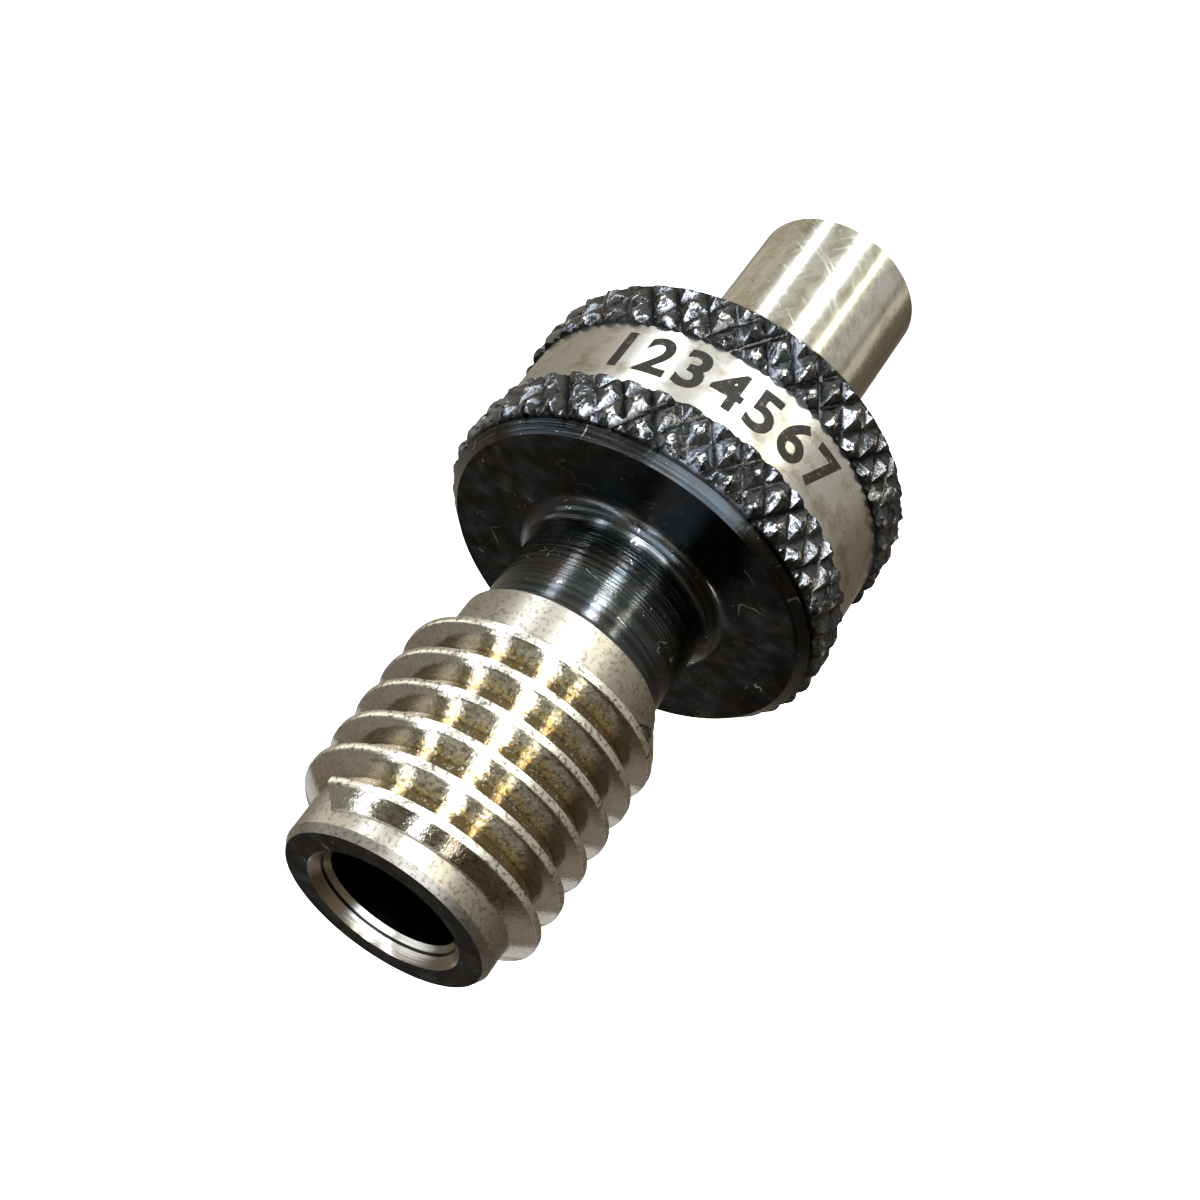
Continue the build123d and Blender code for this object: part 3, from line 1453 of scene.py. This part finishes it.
@dataclass(frozen=True)
class Upright:
    """A strip beside the part, from above the floor to far below it.

    The steel's sides are seen from above, so they mirror what lies below the
    floor's level, and the floor is left out of reflections. The turns are the
    degrees from the front at the upper and the lower end, positive to the part's
    left as it stands, which is the photograph's right limb.
    """

    name: str
    turns: Span
    width: float
    radiance: float
    colour: str = "#ffffff"
    away: float = 170.0
    heights: Span = (70.0, -260.0)

    def build(self) -> bpy.types.Object:
        """Make the strip's light.

        Returns:
            The light.
        """
        ends = []
        for turn, height in zip(self.turns, self.heights):
            angle = math.radians(FRONT - turn)
            ends.append((self.away * math.cos(angle), self.away * math.sin(angle), height))
        return StripLight(self.name, *ends, self.width, self.radiance, self.colour).build()


# The points on the axis that the cards by the shank, neck and thread face
SHANK_AIM: Point = (0.0, 0.0, 5.0)
NECK_AIM: Point = (0.0, 0.0, 20.0)
THREAD_AIM: Point = (0.0, 0.0, 28.0)

LIGHTS: tuple[StripLight | Upright, ...] = (
    Upright("strip_left", (-53.0, -65.0), 27.0, 9.0, "#f2f6ff"),
    Upright("strip_middle", (-10.0, -4.0), 28.0, 22.0, "#f2f6ff"),
    Upright("strip_right", (21.0, 31.0), 12.0, 9.0, "#fff8e4"),
    Upright("card_behind", (178.0, 182.0), 70.0, 0.3),
    StripLight("box_behind", (-150.0, 300.0, 50.0), (150.0, 300.0, 50.0), 90.0, 0.5),
    StripLight(
        "neck_strip", (6.0, -170.0, -70.0), (6.0, -170.0, -100.0), 9.0, 30.0, aim=NECK_AIM
    ),
    StripLight("over_left", (122.0, -160.0, 300.0), (122.0, 140.0, 300.0), 18.0, 7.0),
    StripLight("over_middle", (15.0, -160.0, 300.0), (15.0, 140.0, 300.0), 11.0, 11.0),
    StripLight("over_right", (-50.0, -160.0, 300.0), (-50.0, 140.0, 300.0), 8.0, 7.0, "#fff4e0"),
    StripLight("front_box", (-18.0, -255.0, 190.0), (-18.0, -165.0, 300.0), 262.0, 3.6, "#e6edf8"),
    StripLight("front_low", (-120.0, -300.0, 62.0), (120.0, -300.0, 62.0), 70.0, 15.0),
    StripLight("left_box", (136.0, -114.0, 208.0), (216.0, 92.0, 103.0), 50.0, 1.3, "#e6edf8"),
    StripLight("rear_bar", (-112.0, 160.0, 300.0), (62.0, 160.0, 300.0), 18.0, 75.0),
    StripLight(
        "thread_card", (60.0, -16.0, 12.0), (50.0, 32.0, 12.0), 17.0, 1.3, "#f6f2ea", THREAD_AIM
    ),
    StripLight(
        "shank_card", (-60.0, -3.0, -36.0), (-60.0, -3.0, -64.0), 18.0, 0.55, "#fff6e6", SHANK_AIM
    ),
    StripLight(
        "shank_card_front",
        (-46.0, -38.0, -36.0),
        (-46.0, -38.0, -64.0),
        36.0,
        0.28,
        "#f4f6ff",
        SHANK_AIM,
    ),
    StripLight(
        "shank_card_left",
        (52.0, 26.0, -36.0),
        (52.0, 26.0, -64.0),
        70.0,
        0.30,
        "#fff6e6",
        SHANK_AIM,
    ),
)


@dataclass(frozen=True)
class Room:
    """The room that the steel mirrors.

    The upright sides mirror what lies below the part's level, which goes by the
    turn round the part. What faces the nose mirrors what lies above, which goes
    from left to right and is dark behind the part. low_tones go by degrees round
    the part from the front, and high_tones by the sine of the angle to the
    photograph's right. The spans say where one gives way to the next.
    """

    low_tones: tuple[tuple[float, str], ...] = (
        (-180.0, "#8a8275"),
        (-112.0, "#aba291"),
        (-96.0, "#b0a896"),
        (-84.0, "#bfbaab"),
        (-72.0, "#dad9cb"),
        (-24.0, "#e4e2d4"),
        (22.0, "#dcdac8"),
        (34.0, "#c4c0b4"),
        (48.0, "#b0aca3"),
        (72.0, "#b0ab9f"),
        (84.0, "#9b9588"),
        (96.0, "#7d7565"),
        (132.0, "#655c4d"),
        (150.0, "#6f6658"),
        (180.0, "#8a8275"),
    )
    high_tones: tuple[tuple[float, str], ...] = (
        (-1.0, "#5f5c58"),
        (-0.70, "#8a857c"),
        (-0.35, "#a39d93"),
        (-0.22, "#7f796b"),
        (0.12, "#756e5e"),
        (0.26, "#5a5140"),
        (0.75, "#544939"),
        (1.0, "#4a443c"),
    )
    rear_tone: str = "#4d463c"
    beside_tone: str = "#8e8379"
    beside: Span = (0.30, 0.50)
    forward: Span = (-0.75, -0.45)
    below: Span = (-0.2, 0.1)

    def build(self) -> bpy.types.World:
        """Make the world.

        Returns:
            The world.
        """
        world = bpy.data.worlds.new("room")
        world.use_nodes = True
        tree = world.node_tree
        node = partial(add, tree)
        way = node("TexCoord").node.outputs["Generated"]
        way = node("VectorMath", way, -1.0, operation="SCALE")
        right, front, down = node("SeparateXYZ", way).node.outputs
        turn = node("Math", right, front, operation="ARCTAN2")
        turn = node("MapRange", turn, -math.pi, math.pi)
        low = [((degrees + 180.0) / 360.0, tone) for degrees, tone in self.low_tones]
        high = [((sine + 1.0) / 2.0, tone) for sine, tone in self.high_tones]
        colour: Any = self.rear_tone
        for source, span, beyond in (
            (node("Math", right, operation="ABSOLUTE"), self.beside, self.beside_tone),
            (
                front,
                self.forward,
                node("ValToRGB", node("MapRange", right, -1.0, 1.0), stops=high),
            ),
            (down, self.below, node("ValToRGB", turn, stops=low)),
        ):
            share = node("MapRange", source, *span, **SOFT)
            colour = node("Mix", share, colour, beyond, data_type="RGBA")
        tree.links.new(colour, tree.nodes["Background"].inputs["Color"])
        return world


@dataclass(frozen=True)
class Studio:
    """Pale floor, pale backdrop, strips and soft boxes, and a dim warm room.

    Sizes are in metres here. The floor and the backdrop are seen by the camera
    alone, so they neither shade the part nor show in its steel.
    """

    half: float = 0.9
    dome_share: float = 0.98
    dome_cuts: int = 4
    floor_paint: tuple[str, str, float] = ("floor_paper_white", "#fafafa", 0.80)
    backdrop_paint: tuple[str, str, float] = ("backdrop_paper_white", "#f4f4f4", 0.90)
    matt: float = 0.9
    fill_size: float = 0.5
    fill_height: float = 0.5
    fill_power: float = 1.2

    def paint(self, name: str, colour: str, glow: float) -> bpy.types.Material:
        """Make a plain pale material that also glows a little.

        Args:
            name: The material's name.
            colour: sRGB hex code of the paint and the glow.
            glow: Strength of the glow.

        Returns:
            The material.
        """
        return Shader(name).close(
            Base_Color=colour,
            Roughness=self.matt,
            Specular_IOR_Level=0.0,
            Emission_Color=colour,
            Emission_Strength=glow,
        )

    def floor(self) -> bpy.types.Mesh:
        """Make the floor's mesh, one square.

        Returns:
            The mesh.
        """
        mesh = bpy.data.meshes.new("floor")
        signs = ((-1, -1), (1, -1), (1, 1), (-1, 1))
        corners = [(x * self.half, y * self.half, 0) for x, y in signs]
        mesh.from_pydata(corners, [], [(0, 1, 2, 3)])
        mesh.materials.append(self.paint(*self.floor_paint))
        return mesh

    def backdrop(self) -> bpy.types.Mesh:
        """Make the backdrop's mesh, a ball that is seen from inside.

        Returns:
            The mesh.
        """
        ball = bmesh.new()
        radius = self.half * self.dome_share
        bmesh.ops.create_icosphere(ball, subdivisions=self.dome_cuts, radius=radius)
        bmesh.ops.reverse_faces(ball, faces=ball.faces)
        mesh = bpy.data.meshes.new("backdrop")
        ball.to_mesh(mesh)
        ball.free()
        mesh.shade_smooth()
        mesh.materials.append(self.paint(*self.backdrop_paint))
        return mesh

    def build(self) -> None:
        """Make the floor, the backdrop, the lights and the world."""
        for mesh in (self.floor(), self.backdrop()):
            thing = put(mesh.name, mesh)
            thing.visible_glossy = False
            thing.visible_shadow = False
            thing.visible_diffuse = False
        for light in LIGHTS:
            light.build()
        sky = bpy.data.lights.new("overhead_fill", "AREA")
        sky.shape = "SQUARE"
        sky.size = self.fill_size
        sky.energy = self.fill_power
        fill = put("overhead_fill", sky)
        fill.location = (0.0, 0.0, self.fill_height)
        fill.visible_glossy = False
        bpy.context.scene.world = Room().build()
        bpy.context.scene.view_settings.view_transform = "Standard"
        LOG.info("studio ready")


def main() -> None:
    """Load the frame, build the pieces, the camera and the studio."""
    logging.basicConfig(level=logging.INFO, format="%(name)s: %(message)s")
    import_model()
    Viewpoint().build()
    Studio().build()
    for piece in (GaugeBody().build(), BandNumbers().build()):
        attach(piece, BODY)
        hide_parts(NODE)


if __name__ == "__main__":
    main()
